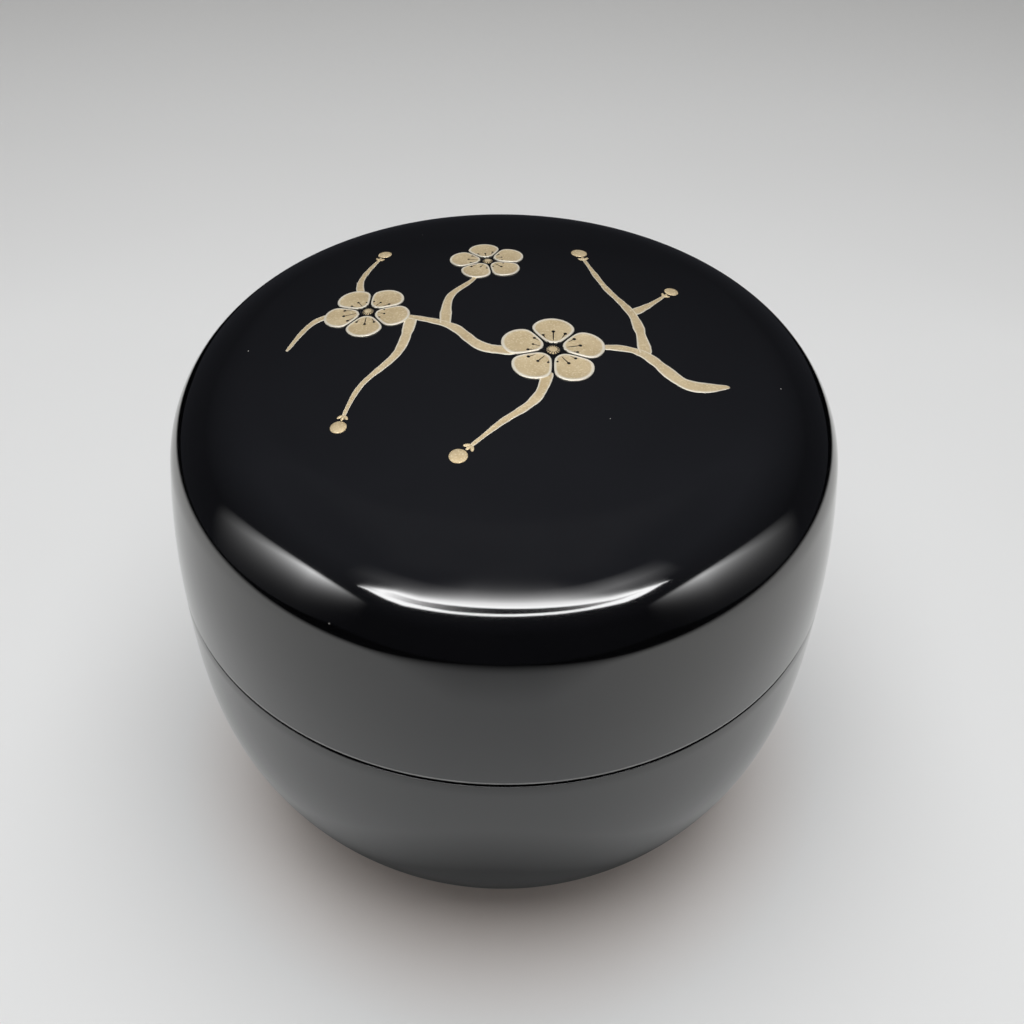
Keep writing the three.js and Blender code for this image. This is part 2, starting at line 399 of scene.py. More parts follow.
def swell(low, high, start_height, end_height, steps):
    """A wall that swells from a low place to a high one by a power curve."""
    points = []
    for i in range(steps + 1):
        height = start_height + (end_height - start_height) * i / steps
        share = (high.y - height) / (high.y - low.y)
        points.append(Vector((high.x - (high.x - low.x) * share**BODY_SWELL, height)))
    return points


def straight(start, end):
    """A straight run, with a point held close to each end so that the rounds beside it stay small."""
    run = end - start
    hold = run.normalized() * min(EDGE_HOLD, run.length / 3)
    steps = max(1, round(run.length / RUN_STEP))
    first, last = start + hold, end - hold
    return [start, *[first.lerp(last, i / steps) for i in range(steps + 1)], end]


def rounded(before, corner, after, size):
    """A small round at a corner between two runs."""
    start = corner + (before - corner).normalized() * size
    end = corner + (after - corner).normalized() * size
    shares = [i / CORNER_STEPS for i in range(CORNER_STEPS + 1)]
    return [start.lerp(corner, s).lerp(corner.lerp(end, s), s) for s in shares]


def softened(corners):
    """A run of straight lines through corners, each a place and the size of its round."""
    points = []
    for i, (corner, size) in enumerate(corners):
        turn = [corner]
        if size:
            turn = rounded(corners[i - 1][0], corner, corners[i + 1][0], size)
        if points:
            points += straight(points.pop(), turn[0])
            turn = turn[1:]
        points += turn
    return points


def body_section():
    """Outside of the body from under the foot to the ledge, then its lip, bowl and floor."""
    low = Vector((FOOT_RADIUS, 0))
    high = Vector((MAX_RADIUS, BODY_HEIGHT))
    mouth_start = LEDGE_HEIGHT - MOUTH_REACH
    wall = swell(low, high, FOOT_EASE, mouth_start, WALL_STEPS)
    for point in swell(low, high, mouth_start, LEDGE_HEIGHT - SEAM_EASE, MOUTH_STEPS)[1:]:
        share = (point.y - mouth_start) / MOUTH_REACH
        wall.append(Vector((point.x - MOUTH_DRAW * share**2, point.y)))
    ring_inner = FOOT_RADIUS - FOOT_RING_WIDTH
    foot = softened([
        (Vector((0, FOOT_RECESS)), 0),
        (Vector((ring_inner, FOOT_RECESS)), RECESS_ROUND),
        (Vector((ring_inner + FOOT_EASE, 0)), RING_ROUND),
        (Vector((FOOT_RADIUS, 0)), FOOT_EASE),
        (wall[0], 0),
    ])
    ledge_and_lip = softened([
        (wall[-1], 0),
        (Vector((MAX_RADIUS - MOUTH_DRAW, LEDGE_HEIGHT)), SEAM_ROUND),
        (Vector((LIP_OUTER, LEDGE_HEIGHT)), LIP_ROOT_ROUND),
        (Vector((LIP_OUTER, LIP_TOP)), EDGE_EASE),
        (Vector((LIP_INNER, LIP_TOP)), EDGE_EASE),
        (Vector((LIP_INNER, BODY_HEIGHT)), 0),
    ])
    bowl_low = Vector((BOWL_FLOOR_RADIUS, FLOOR_TOP))
    bowl_high = Vector((LIP_INNER, BODY_HEIGHT))
    bowl = swell(bowl_low, bowl_high, BODY_HEIGHT, FLOOR_TOP + BOWL_WALL_END, BOWL_STEPS)
    bowl_floor = softened([
        (bowl[-1], 0),
        (bowl_low, BOWL_CORNER_ROUND),
        (Vector((0, FLOOR_TOP)), 0),
    ])
    outside = foot + wall[1:] + ledge_and_lip[1:-1]
    return [(outside, False), (bowl + bowl_floor[1:], True)]


def lid_section():
    """Inside of the lid from the axis down to the rim, then its outside up to the axis again."""
    inside = [
        *arc(CROWN_CENTRE, INNER_CROWN_ARC, TAU / 4, INNER_SHOULDER_END, INNER_CROWN_STEPS),
        *arc(INNER_SHOULDER_CENTRE, INNER_SHOULDER_ARC, INNER_SHOULDER_END, 0, INNER_SHOULDER_STEPS)[1:],
    ]
    side_start = math.asin((RIM_HEIGHT + SEAM_EASE - SIDE_CENTRE.y) / LID_SIDE_ARC)
    side = arc(SIDE_CENTRE, LID_SIDE_ARC, side_start, SHOULDER_START, SIDE_STEPS)
    rim = softened([
        (inside[-1], 0),
        (Vector((BORE_RADIUS, RIM_HEIGHT)), EDGE_EASE),
        (Vector((MAX_RADIUS, RIM_HEIGHT)), SEAM_ROUND),
        (side[0], 0),
    ])
    outside = [
        *rim[1:],
        *side[1:],
        *arc(SHOULDER_CENTRE, SHOULDER_ARC, SHOULDER_START, SHOULDER_END, SHOULDER_STEPS)[1:],
        *arc(CROWN_CENTRE, CROWN_ARC, SHOULDER_END, TAU / 4, CROWN_STEPS)[1:],
    ]
    return [(inside, True), (outside, False)]


def section_mesh(name, runs):
    """A chain of edges along the runs of a half section, marked with which points are of the inside."""
    mesh = bpy.data.meshes.new(name)
    places = [(max(p.x, 0) * MM, 0, p.y * MM) for points, _ in runs for p in points]
    mesh.from_pydata(places, [(i, i + 1) for i in range(len(places) - 1)], [])
    mark = mesh.attributes.new("inside", "BOOLEAN", "POINT")
    mark.data.foreach_set("value", [is_inside for points, is_inside in runs for _ in points])
    return mesh


def turned_shell_nodes():
    """Turns a half section about Z: a column of points for each turn, welded at the join and the axis."""
    nodes = geometry_nodes("turned_shell", {"Turns": "Int", "Outside": "Material", "Inside": "Material"})
    section = nodes.given("Geometry")
    turns = nodes.given("Turns")
    rows = nodes.add(
        "GeometryNodeAttributeDomainSize", {"component": "MESH"}, {"Geometry": section}, "Point Count"
    )
    skin = nodes.add("GeometryNodeMeshGrid", None, {"Vertices X": turns + 1, "Vertices Y": rows}, "Mesh")
    index = nodes.add("GeometryNodeInputIndex")
    row = index % rows
    angle = (index - row) / rows * TAU / turns

    def of_section(value, kind):
        """What the section's point of the same row has."""
        settings = {"data_type": kind, "domain": "POINT"}
        sockets = {"Geometry": section, "Value": value, "Index": row}
        return nodes.add("GeometryNodeSampleIndex", settings, sockets)

    radius, _, height = nodes.parts(of_section(nodes.position(), "FLOAT_VECTOR"))
    skin = nodes.placed(skin, radius * angle.cosine(), radius * angle.sine(), height)
    inside = of_section(nodes.stored("inside", "BOOLEAN"), "BOOLEAN")
    inside = nodes.add(
        "GeometryNodeFieldOnDomain", {"data_type": "BOOLEAN", "domain": "POINT"}, {"Value": inside}
    )
    skin = nodes.finished(skin, "Outside")
    nodes.end(nodes.finished(skin, "Inside", inside))
    return nodes


# Gold spray


def laid_on_crown(nodes, geometry):
    """Ends a tree of gold: real mesh on the crown, with nothing deeper in the lacquer than a small sink."""
    geometry = nodes.add("GeometryNodeRealizeInstances", None, {"Geometry": geometry})
    x, y, z = nodes.parts(nodes.position())
    crown = (CROWN_ARC * MM) ** 2 - x * x - y * y
    height = crown.root() + CROWN_CENTRE.y * MM + z.at_least(-GOLD_SINK * MM)
    nodes.end(nodes.placed(geometry, x, y, height))


def twig_nodes():
    """Brush strokes along plan curves: wide at the root, thin at the tip, knotted, with raised edges."""
    knot_size = 2.0
    ring_points = 28
    flatness = 0.3
    edge_start, edge_full = 0.66, 0.90
    nodes = geometry_nodes(
        "twigs", {"Taper": "Float", "Knots": "Float", "Relief": "Float", "Dip": "Float", "Gold": "Material"}
    )
    curve = nodes.add("GeometryNodeMeshToCurve", None, {"Mesh": nodes.given("Geometry")})
    half = nodes.stored("half_width")
    along = nodes.add("GeometryNodeSplineParameter")
    share, length = along.output("Factor"), along.output("Length")
    whole = nodes.add("GeometryNodeSplineLength", output="Length")
    near_end = (length.at_most(whole - length) / half).at_least(0).at_most(1)
    round_end = (1 - (1 - near_end) ** 2).root()
    knot = nodes.noise(nodes.position(), knot_size) - 0.5
    width = half * (1 - share * (1 - nodes.given("Taper"))) * round_end * (1 + knot * nodes.given("Knots"))
    ring = nodes.add(
        "GeometryNodeCurvePrimitiveCircle", None, {"Resolution": ring_points, "Radius": 1.0}, "Curve"
    )
    across, up, _ = nodes.parts(nodes.position())
    relief = up.at_least(0) ** flatness * (1 - nodes.given("Dip") * (1 - across * across))
    ring = nodes.store(ring, "relief", relief)
    ring = nodes.store(ring, "beside", across.size().within(edge_start, edge_full))
    curve = nodes.store(curve, "fullness", round_end)
    curve = nodes.add("GeometryNodeSetCurveNormal", {"mode": "Z_UP"}, {"Curve": curve})
    stroke = nodes.add(
        "GeometryNodeCurveToMesh",
        None,
        {"Curve": curve, "Profile Curve": ring, "Scale": width, "Fill Caps": False},
    )
    x, y, _ = nodes.parts(nodes.position())
    fullness = nodes.stored("fullness")
    height = nodes.stored("relief") * fullness * nodes.given("Relief") - GOLD_SINK * MM
    stroke = nodes.placed(stroke, x, y, height)
    # Where the stroke's edges are, for the painted highlight of the gold
    stroke = nodes.store(stroke, "edge", nodes.stored("beside").at_least(1 - fullness))
    for name in ("relief", "beside", "fullness", "half_width"):
        stroke = nodes.add("GeometryNodeRemoveAttribute", None, {"Geometry": stroke, "Name": name})
    laid_on_crown(nodes, nodes.finished(stroke, "Gold"))
    return nodes


def blossom_nodes():
    """Petals about a middle, a ring of fine stamens with round tips on them, and a small heart."""
    # Shares of the blossom's radius, and of its relief where they are heights
    stamen_start, stamen_end = 0.05, 0.5
    stamen_girth = 0.011
    stamen_height = 0.76
    shortest, longest = 0.72, 1.12
    tip_radius = 0.034
    heart_radius = 0.13
    upward_stretch = (1, 1, 8)
    nodes = geometry_nodes(
        "blossom",
        {
            "Petals": "Int",
            "Stamens": "Int",
            "Place": "Vector",
            "Radius": "Float",
            "Relief": "Float",
            "Turn": "Float",
            "Seed": "Int",
            "Gold": "Material",
            "Line": "Material",
        },
    )
    index = nodes.add("GeometryNodeInputIndex")

    def ring(count, form, scale=(1, 1, 1)):
        """Copies of a form in a ring about the middle."""
        points = nodes.add("GeometryNodePoints", None, {"Count": count})
        return nodes.copies(points, form, index * TAU / count, scale)

    petals = ring(nodes.given("Petals"), nodes.finished(nodes.given("Geometry"), "Gold"))
    filament = nodes.add(
        "GeometryNodeCurvePrimitiveLine", None, {"Start": (stamen_start, 0, 0), "End": (stamen_end, 0, 0)}
    )
    girth = nodes.add(
        "GeometryNodeCurvePrimitiveCircle", None, {"Resolution": 8, "Radius": stamen_girth}, "Curve"
    )
    filament = nodes.add(
        "GeometryNodeCurveToMesh", None, {"Curve": filament, "Profile Curve": girth, "Fill Caps": True}
    )
    tip = nodes.ball(tip_radius, segments=12, rings=8)
    tip = nodes.moved(tip, Translation=(stamen_end, 0, 0))
    stamen = nodes.joined(filament, tip)
    stamen = nodes.moved(stamen, Scale=upward_stretch, Translation=(0, 0, stamen_height))
    stamen = nodes.finished(stamen, "Line")
    length = nodes.add(
        "FunctionNodeRandomValue",
        {"data_type": "FLOAT"},
        {"Min": shortest, "Max": longest, "ID": index, "Seed": nodes.given("Seed")},
    )
    stamens = ring(nodes.given("Stamens"), stamen, nodes.point(length, length, 1))
    heart = nodes.ball(heart_radius, segments=20, rings=12)
    heart = nodes.finished(nodes.moved(heart, Scale=upward_stretch), "Gold")
    flower = nodes.joined(petals, stamens, heart)
    flower = nodes.add("GeometryNodeRealizeInstances", None, {"Geometry": flower})
    radius = nodes.given("Radius")
    flower = nodes.moved(
        flower,
        Translation=nodes.given("Place"),
        Rotation=nodes.about_z(nodes.given("Turn")),
        Scale=nodes.point(radius, radius, nodes.given("Relief")),
    )
    laid_on_crown(nodes, flower)
    return nodes


def bud_nodes():
    """Closed buds on points: a round ball, and three narrow sepals that fan out from its stem."""
    nodes = geometry_nodes("buds", {"Relief": "Float", "Gold": "Material"})

    def dome(length, width, place, turn, height):
        """A low oval form at a plan place, with half sizes in plan and a height."""
        return nodes.moved(
            nodes.ball(1, segments=24, rings=14),
            Translation=(*place, 0),
            Rotation=nodes.about_z(turn),
            Scale=(length, width, height),
        )

    # Shares of the bud's radius, and of its relief where they are heights, with the stem on the X axis
    head_radius, head_shift, head_height = 0.62, 0.36, 1.05
    sepal_length, sepal_width, sepal_height = 0.27, 0.13, 0.8
    sepal_root, sepal_reach, sepal_fan = 0.92, 0.32, 0.75
    head = dome(head_radius, head_radius, (-head_shift, 0), 0, head_height)
    sepals = []
    for turn in (-sepal_fan, 0, sepal_fan):
        place = (sepal_root - sepal_reach * math.cos(turn), -sepal_reach * math.sin(turn))
        sepals.append(dome(sepal_length, sepal_width, place, turn, sepal_height))
    bud = nodes.joined(head, *sepals)
    size = nodes.stored("size")
    scale = nodes.point(size, size, nodes.given("Relief"))
    points = nodes.add("GeometryNodeMeshToPoints", None, {"Mesh": nodes.given("Geometry")})
    buds = nodes.copies(points, bud, nodes.stored("stem"), scale)
    laid_on_crown(nodes, nodes.finished(buds, "Gold"))
    return nodes


def marked(mesh, name, values):
    """Gives each point of a mesh a number."""
    mesh.attributes.new(name, "FLOAT", "POINT").data.foreach_set("value", values)


def petal_mesh():
    """One petal of a blossom of radius 1 and relief 1, on the X axis: a low dish with a raised edge."""
    gap = 0.035
    half_sector = TAU / PETAL_COUNT / 2
    middle = 1 - PETAL_ROUND
    inner = 0.17
    around = 48
    corner_power = 9
    edge_start, edge_full = 0.84, 0.92

    def reach(angle):
        """Distance from the petal's middle to its edge: round, but cut by its neighbours and the heart."""
        limits = [PETAL_ROUND]
        for turn in (angle, -angle):
            towards_neighbour = math.sin(turn - half_sector)
            if towards_neighbour > 0:
                limits.append((middle * math.sin(half_sector) - gap / 2) / towards_neighbour)
        if math.cos(angle) < 0:
            limits.append((middle - inner) / -math.cos(angle))
        return sum(limit**-corner_power for limit in limits) ** (-1 / corner_power)

    # Share of the way out and height of each ring: underside, wall, raised edge and dish
    rings = [(0.5, 0), (1, 0), (1, 0.55), (0.985, 0.85), (0.95, 1), (0.90, 0.95), (0.83, 0.80), (0.5, 0.72)]
    dish_height = 0.7
    places = [(middle, 0, 0)]
    for share, height in rings:
        for i in range(around):
            angle = i / around * TAU
            distance = share * reach(angle)
            places.append((middle + distance * math.cos(angle), distance * math.sin(angle), height))
    places.append((middle, 0, dish_height))
    faces = []
    last = len(places) - 1
    top = last - around
    for i in range(around):
        after = (i + 1) % around
        faces.append((0, 1 + after, 1 + i))
        faces.append((last, top + i, top + after))
        for row in range(len(rings) - 1):
            low = 1 + row * around
            faces.append((low + i, low + after, low + around + after, low + around + i))
    mesh = bpy.data.meshes.new("petal")
    mesh.from_pydata(places, [], faces)
    # Where the petal's raised edge is, for the painted highlight of the gold
    on_edge = []
    for share, _ in rings:
        edge = (share - edge_start) / (edge_full - edge_start)
        on_edge += [min(max(edge, 0), 1)] * around
    marked(mesh, "edge", [0, *on_edge, 0])
    return mesh


class Stroke:
    """A twig: its size, the plan places that it runs through, and how far its ends stay from them."""

    def __init__(self, size, through, from_reach, to_reach, pointed_root=False):
        self.size = size
        self.pointed_root = pointed_root
        self.through = [Vector(place) for place in through]
        self.from_reach = from_reach
        self.to_reach = to_reach

    def at(self, t):
        """The place at a share of the way: a smooth curve through every given place."""
        last = len(self.through) - 1
        i = min(int(t * last), last - 1)
        share = t * last - i
        before = self.through[max(i - 1, 0)]
        start, end = self.through[i], self.through[i + 1]
        after = self.through[min(i + 2, last)]
        leave, arrive = (end - before) / 2, (after - start) / 2
        bend = 2 * start - 2 * end + leave + arrive
        climb = 3 * end - 3 * start - 2 * leave - arrive
        return bend * share**3 + climb * share**2 + leave * share + start

    def clear_of(self, reach, first, last):
        """The share of the way where the stroke comes clear of what it grows from."""
        tries = 400
        shares = [first + (last - first) * i / tries for i in range(tries)]
        return next((t for t in shares if (self.at(t) - self.at(first)).length >= reach), last)

    def half_width(self, share):
        """Half its width in the plan, at a share of its length and before its taper."""
        point_length, point_shape = 0.3, 0.6
        root = min(share / point_length, 1) ** point_shape if self.pointed_root else 1
        return self.size * TWIG_WIDTH / 2 * root

    def places(self, steps):
        start = self.clear_of(self.from_reach, 0.0, 1.0)
        end = self.clear_of(self.to_reach, 1.0, 0.0)
        return [self.at(start + (end - start) * i / steps) for i in range(steps + 1)]


FRONT_BLOSSOM = (0.20, -0.14)
LEFT_BLOSSOM = (-0.62, 0.16)
BACK_BLOSSOM = (-0.10, 0.60)
BACK_BUD = (0.34, 0.70)
RIGHT_BUD = (0.74, 0.40)
FRONT_BUD = (-0.16, -0.78)
NEAR_LEFT_BUD = (-0.66, -0.60)
FAR_LEFT_BUD = (-0.60, 0.68)

# Name, CAD node, plan place, size and turn of each blossom
BLOSSOMS = [
    ("blossom_front", "gold_blossom_1", FRONT_BLOSSOM, 1.0, 0.3),
    ("blossom_left", "gold_blossom_2", LEFT_BLOSSOM, 0.86, 0.9),
    ("blossom_back", "gold_blossom_3", BACK_BLOSSOM, 0.78, 0.5),
]


def to_blossom(size):
    """How far a twig's end stays from the middle of a blossom: it runs in under the petals."""
    under_petals = 0.62
    return size * BLOSSOM_RADIUS * under_petals


def to_bud(size):
    """How far a twig's end stays from the middle of a bud: it runs in between the sepals."""
    among_sepals = 0.7
    return size * BUD_RADIUS * among_sepals


# A twig runs right up to its fork and to its free end
TO_FORK = 0
TO_FREE_END = 0

BACK_TWIG = Stroke(0.75, [(0.60, -0.13), (0.56, 0.16), (0.44, 0.40), BACK_BUD], TO_FORK, to_bud(1))
RIGHT_SPUR = Stroke(0.6, [(0.55, 0.18), (0.64, 0.27), RIGHT_BUD], TO_FORK, to_bud(0.85))
FRONT_TWIG = Stroke(
    0.7, [FRONT_BLOSSOM, (0.14, -0.44), (-0.02, -0.62), FRONT_BUD], to_blossom(1), to_bud(1)
)
NEAR_LEFT_TWIG = Stroke(
    0.7, [(-0.42, 0.10), (-0.46, -0.16), (-0.60, -0.38), NEAR_LEFT_BUD], TO_FORK, to_bud(0.9)
)
FAR_LEFT_TWIG = Stroke(0.6, [LEFT_BLOSSOM, (-0.68, 0.42), FAR_LEFT_BUD], to_blossom(0.86), to_bud(0.85))
BOUGH = Stroke(
    1.1,
    [(0.95, -0.28), (0.76, -0.30), (0.58, -0.12), (0.40, -0.10), FRONT_BLOSSOM],
    TO_FREE_END,
    to_blossom(1),
    pointed_root=True,
)
LONG_TWIG = Stroke(
    0.9,
    [FRONT_BLOSSOM, (-0.08, -0.14), (-0.24, 0.02), (-0.42, 0.10), LEFT_BLOSSOM],
    to_blossom(1),
    to_blossom(0.86),
)
BLOSSOM_TWIG = Stroke(
    0.7, [(-0.27, 0.03), (-0.26, 0.26), (-0.16, 0.42), BACK_BLOSSOM], TO_FORK, to_blossom(0.78)
)
LEFT_TIP = Stroke(0.6, [LEFT_BLOSSOM, (-0.84, 0.12), (-0.95, -0.10)], to_blossom(0.86), TO_FREE_END)
TWIGS = [
    BOUGH,
    LONG_TWIG,
    BACK_TWIG,
    RIGHT_SPUR,
    BLOSSOM_TWIG,
    NEAR_LEFT_TWIG,
    FRONT_TWIG,
    LEFT_TIP,
    FAR_LEFT_TWIG,
]

# Plan place, size and twig of each bud
BUDS = [
    (BACK_BUD, 1.0, BACK_TWIG),
    (RIGHT_BUD, 0.85, RIGHT_SPUR),
    (FRONT_BUD, 1.0, FRONT_TWIG),
    (NEAR_LEFT_BUD, 0.9, NEAR_LEFT_TWIG),
    (FAR_LEFT_BUD, 0.85, FAR_LEFT_TWIG),
]


def in_plan(place):
    """A plan place of the spray in metres."""
    return (place[0] * SPRAY_RADIUS * MM, place[1] * SPRAY_RADIUS * MM, 0)


def twig_chains():
    """A chain of edges along each twig, marked with the twig's half width before its taper."""
    steps = 48
    places, edges, half_widths = [], [], []
    for twig in TWIGS:
        start = len(places)
        places += [in_plan(place) for place in twig.places(steps)]
        edges += [(start + i, start + i + 1) for i in range(steps)]
        half_widths += [twig.half_width(i / steps) * SPRAY_RADIUS * MM for i in range(steps + 1)]
    mesh = bpy.data.meshes.new("twig_chains")
    mesh.from_pydata(places, edges, [])
    marked(mesh, "half_width", half_widths)
    return mesh


def bud_points():
    """A point for each bud, marked with its size and the angle towards its stem."""
    mesh = bpy.data.meshes.new("bud_points")
    mesh.from_pydata([in_plan(place) for place, _, _ in BUDS], [], [])
    marked(mesh, "size", [size * BUD_RADIUS * SPRAY_RADIUS * MM for _, size, _ in BUDS])
    stems = [twig.places(8)[-2] - Vector(place) for place, _, twig in BUDS]
    marked(mesh, "stem", [math.atan2(stem.y, stem.x) for stem in stems])
    return mesh


# Finishes


def lacquer_dust(nodes, place):
    """A few specks of dust: 1 on a speck and 0 elsewhere."""
    cell = 1.2
    smallest, spread = 0.03, 0.06
    share_empty = 0.975
    spots = nodes.cells(place, cell, "Distance")
    pick, grade, _ = nodes.parts(spots.output("Color"))
    return (spots < (smallest + spread * grade) / cell) * (pick > share_empty)


def glossy_lacquer(name, tint):
    """Polished black lacquer: mirror gloss, faint peel, smears, dust, a rubbed foot, and a painted highlight
    on the rim.
    """
    rim_highlight_grey = (0.20, 0.20, 0.197, 1)
    rubbed_foot = (0.010, 0.006, 0.005, 1)
    dust_grey = (0.30, 0.29, 0.27, 1)
    material, nodes = material_nodes(name)
    place = nodes.object_place()
    x, y, z = nodes.parts(place)
    radius = (x * x + y * y).root()
    smear = nodes.noise(place, 11, detail=4.0, roughness=0.6)
    fine = nodes.noise(place, 0.5, detail=3.0, roughness=0.6)
    dust = lacquer_dust(nodes, place)
    # Painted highlight: a pale grey line along the lid's lower rim, just above the seam
    above_rim = (z - RIM_HEIGHT * MM) / (RIM_HIGHLIGHT_HEIGHT * MM)
    on_rim = (above_rim > 0) * (1 - above_rim.within(0.8, 1.1)) * (radius > (MAX_RADIUS - SEAM_EASE) * MM)
    rim_highlight = on_rim * (0.6 + 0.4 * nodes.noise(place, 2.5, detail=3.0).within(0.35, 0.6))
    foot_wear = (1 - z.within(0.05 * MM, 0.35 * MM)) * nodes.noise(place, 1.2, detail=4.0).within(0.3, 0.6)
    colour = nodes.blend(smear, (*tint, 1), (*[t * 2 for t in tint], 1))
    colour = nodes.blend(foot_wear, colour, rubbed_foot)
    colour = nodes.blend(rim_highlight, colour, rim_highlight_grey)
    colour = nodes.blend(dust, colour, dust_grey)
    roughness = 0.035 + 0.035 * smear + 0.02 * fine + 0.3 * foot_wear + 0.12 * rim_highlight + 0.6 * dust
    peel = nodes.bump(nodes.noise(place, 1.1, detail=1.0), 0.0006)
    sway = nodes.bump(nodes.noise(place, 7, detail=1.0), 0.008, peel)
    sockets = {"Base Color": colour, "Roughness": roughness, "IOR": 1.75, "Normal": sway}
    return surfaced(material, nodes, sockets)


def inner_lacquer(name):
    """Black lacquer of the inside: softer gloss, with faint turning rings left from the lathe."""
    deep_black, brown_black = (0.006, 0.005, 0.005, 1), (0.012, 0.010, 0.009, 1)
    material, nodes = material_nodes(name)
    place = nodes.object_place()
    x, y, z = nodes.parts(place)
    around = nodes.point((x * x + y * y).root(), 0, z)
    rings = nodes.noise(around, 0.7, detail=3.0, roughness=0.6)
    cloud = nodes.noise(place, 9, detail=4.0, roughness=0.6)
    colour = nodes.blend(cloud, deep_black, brown_black)
    roughness = 0.16 + 0.12 * cloud + 0.06 * rings
    normal = nodes.bump(rings, 0.004, nodes.bump(nodes.noise(place, 1.0, detail=1.0), 0.001))
    sockets = {"Base Color": colour, "Roughness": roughness, "IOR": 1.6, "Normal": normal}
    return surfaced(material, nodes, sockets)


def gold_powder(name):
    """Pale gold powder laid in lacquer: fine grain, clouds of tone, thin places, and a painted highlight on
    raised edges.
    """
    material, nodes = material_nodes(name)
    place = nodes.object_place()
    edge = nodes.add("ShaderNodeAttribute", {"attribute_name": "edge"}, output="Fac")
    deep_gold, light_gold = (0.57, 0.44, 0.25, 1), (0.68, 0.55, 0.34, 1)
    bright_flake, bare_ground = (0.80, 0.69, 0.47, 1), (0.30, 0.20, 0.09, 1)
    gold_edge_highlight = (0.90, 0.84, 0.70, 1)
    grain = nodes.noise(place, 0.10, detail=2.0, roughness=0.7)
    cloud = nodes.noise(place, 2.2, detail=4.0, roughness=0.6)
    glint, _, _ = nodes.parts(nodes.cells(place, 0.14, "Color"))
    thin = (1 - nodes.noise(place, 0.45, detail=4.0, roughness=0.7).within(0.28, 0.42)) * 0.35
    colour = nodes.blend(cloud.within(0.3, 0.7), deep_gold, light_gold)
    colour = nodes.blend(glint.within(0.7, 1.0) * 0.7, colour, bright_flake)
    colour = nodes.blend(thin, colour, bare_ground)
    # Painted highlight: the raised edges are paler
    colour = nodes.blend(edge, colour, gold_edge_highlight)
    roughness = 0.36 + 0.22 * grain + 0.1 * cloud - 0.1 * edge
    normal = nodes.bump(grain, 0.008)
    sockets = {"Base Color": colour, "Metallic": 0.5, "Roughness": roughness, "Normal": normal}
    return surfaced(material, nodes, sockets)


# The object's pieces

lid_gloss = glossy_lacquer("lid_lacquer_gloss", (0.0016, 0.0016, 0.0019))
body_gloss = glossy_lacquer("body_lacquer_gloss", (0.0017, 0.0016, 0.0016))
inner_gloss = inner_lacquer("inner_lacquer_satin")
gold = gold_powder("gold_powder")

shell_nodes = turned_shell_nodes()


def turned_shell(name, runs, gloss):
    """A smooth shell turned from the runs of a half section."""
    section = section_mesh(name + "_section", runs)
    return grown(name, section, shell_nodes, {"Turns": TURNS, "Outside": gloss, "Inside": inner_gloss})


body_shell = turned_shell("body_shell", body_section(), body_gloss)
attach(body_shell, "caddy_body")
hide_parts("body", "bottom_board")

lid_shell = turned_shell("lid_shell", lid_section(), lid_gloss)
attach(lid_shell, "caddy_lid")
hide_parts("lid")

gold_twigs = grown(
    "gold_twigs",
    twig_chains(),
    twig_nodes(),
    {"Taper": TWIG_TAPER, "Knots": TWIG_KNOTS, "Relief": TWIG_RELIEF * MM, "Dip": TWIG_DIP, "Gold": gold},
)
gold_buds = grown("gold_buds", bud_points(), bud_nodes(), {"Relief": GOLD_RELIEF * MM, "Gold": gold})
gold_pieces = [
    (gold_twigs, [f"gold_twig_{i + 1}" for i in range(len(TWIGS))]),
    (gold_buds, [f"gold_bud_{i + 1}" for i in range(len(BUDS))]),
]
one_blossom = blossom_nodes()
petal = petal_mesh()
for seed, (name, node, place, size, turn) in enumerate(BLOSSOMS):
    blossom = grown(
        name,
        petal,
        one_blossom,
        {
            "Petals": PETAL_COUNT,
            "Stamens": STAMEN_COUNT,
            "Place": in_plan(place),
            "Radius": size * BLOSSOM_RADIUS * SPRAY_RADIUS * MM,
            "Relief": GOLD_RELIEF * MM,
            "Turn": turn,
            "Seed": seed,
            "Gold": gold,
            "Line": lid_gloss,
        },
    )
    gold_pieces.append((blossom, [node]))
for piece, nodes_replaced in gold_pieces:
    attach(piece, "caddy_lid")
    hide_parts(*nodes_replaced)


# Stage, in metres: a pale floor and backdrop, a soft overhead light, and a tent that only reflections see

FLOOR_REACH = 0.8
FLOOR_DROP = 0.0005
FLOOR_FADE_START = 0.42
FLOOR_FADE_END = 0.75
BACKDROP_RADIUS = 2.5
BACKDROP_SHADE = (0.37, 0.37, 0.365, 1)
REFLECTED_FLOOR_REACH = 0.17
TENT_RADIUS = 0.38
TENT_MIDDLE = (0, 0, 0.05)
TENT_TURN = math.radians(4.3)
FILL_LIGHT = 0.23
FILL_COLOUR = (1.0, 0.97, 0.94, 1)
OVERHEAD_PLACE = (0, -0.04, 0.45)
OVERHEAD_SIZE = 0.40
OVERHEAD_POWER = 1.88
OVERHEAD_COLOUR = (0.965, 0.972, 0.988)


def stage_piece(name, mesh, material):
    """A stage object that casts no shadow."""
    mesh.materials.append(material)
    piece = shown(bpy.data.objects.new(name, mesh))
    piece.visible_shadow = False
    piece.visible_transmission = False
    piece.visible_volume_scatter = False
    return piece


def square(name, reach, height):
    """A level square about the middle."""
    mesh = bpy.data.meshes.new(name)
    corners = [(-reach, -reach), (reach, -reach), (reach, reach), (-reach, reach)]
    mesh.from_pydata([(*corner, height) for corner in corners], [], [(0, 1, 2, 3)])
    return mesh


def ball(name, radius):
    """A round of small triangles about the middle."""
    shape = bmesh.new()
    bmesh.ops.create_icosphere(shape, subdivisions=3, radius=radius)
    mesh = bpy.data.meshes.new(name)
    shape.to_mesh(mesh)
    shape.free()
    return mesh


